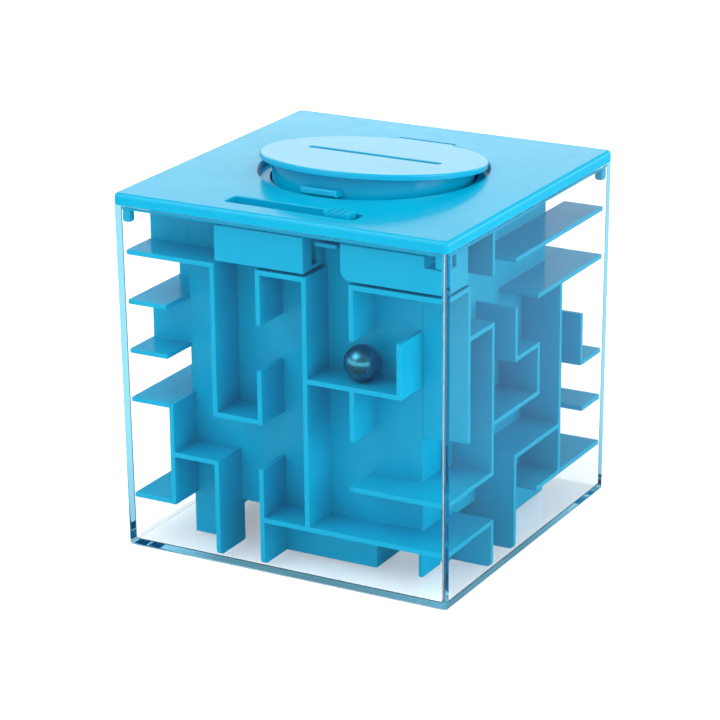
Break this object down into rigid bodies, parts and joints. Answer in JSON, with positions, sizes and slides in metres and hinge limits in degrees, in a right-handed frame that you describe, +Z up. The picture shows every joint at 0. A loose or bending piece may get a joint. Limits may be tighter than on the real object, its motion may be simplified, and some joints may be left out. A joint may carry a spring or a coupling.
{
  "type": "maze ball puzzle box",
  "caption": "Cube maze puzzle and coin box: a clear case around a blue ribbed core where a steel ball runs, with a hinged lid with a coin slot and a sliding lock.",
  "frame": {"origin": "centre of the face that the case stands on", "axes": "+Z up, -Y towards the front with the sliding lock, +X to the right seen from the front"},
  "size_m": [0.0918, 0.0918, 0.099],
  "materials": {
    "clear_plastic": "clear, moulded",
    "blue_plastic": "gloss, moulded",
    "polished_steel": "polished",
    "steel": "satin"
  },
  "bodies": {
    "box": {"clear_case": "clear_plastic", "top_cover": "blue_plastic", "front_maze_panel": "blue_plastic", "right_maze_panel": "blue_plastic", "left_maze_panel": "blue_plastic", "back_maze_panel": "blue_plastic", "base_maze_panel": "blue_plastic", "core_corner_posts": "blue_plastic", "left_lock_housing": "blue_plastic", "right_lock_housing": "blue_plastic", "housing_screws": "steel", "lid_hinge_pin": "steel", "well_cover": "blue_plastic", "rocker_axle": "steel", "rocker_spring": "steel"},
    "lid": {"lid": "blue_plastic"},
    "slider": {"lock_slider": "blue_plastic"},
    "rocker": {"release_rocker": "blue_plastic"},
    "ball": {"maze_ball": "polished_steel"}
  },
  "joints": [
    {"name": "lid_hinge", "type": "hinge", "parent": "box", "child": "lid", "pos_m": [0, 0.0312, 0.09165], "axis": [-1, 0, 0], "range_deg": [-6.6, 83.4]},
    {"name": "slider_slide", "type": "slide", "parent": "box", "child": "slider", "axis": [-1, 0, 0], "range_m": [0, 0.0265]},
    {"name": "rocker_pivot", "type": "hinge", "parent": "box", "child": "rocker", "pos_m": [0.0032, -0.0372, 0.0856], "axis": [0, 1, 0], "range_deg": [0, 12], "stiffness_Nm_per_rad": 0.0002, "springref_deg": 22.92, "deforming": ["rocker_spring"]},
    {"name": "ball_slide", "type": "slide", "parent": "box", "child": "ball", "axis": [1, 0, 0], "range_m": [-0.0074, 0.0072]}
  ]
}
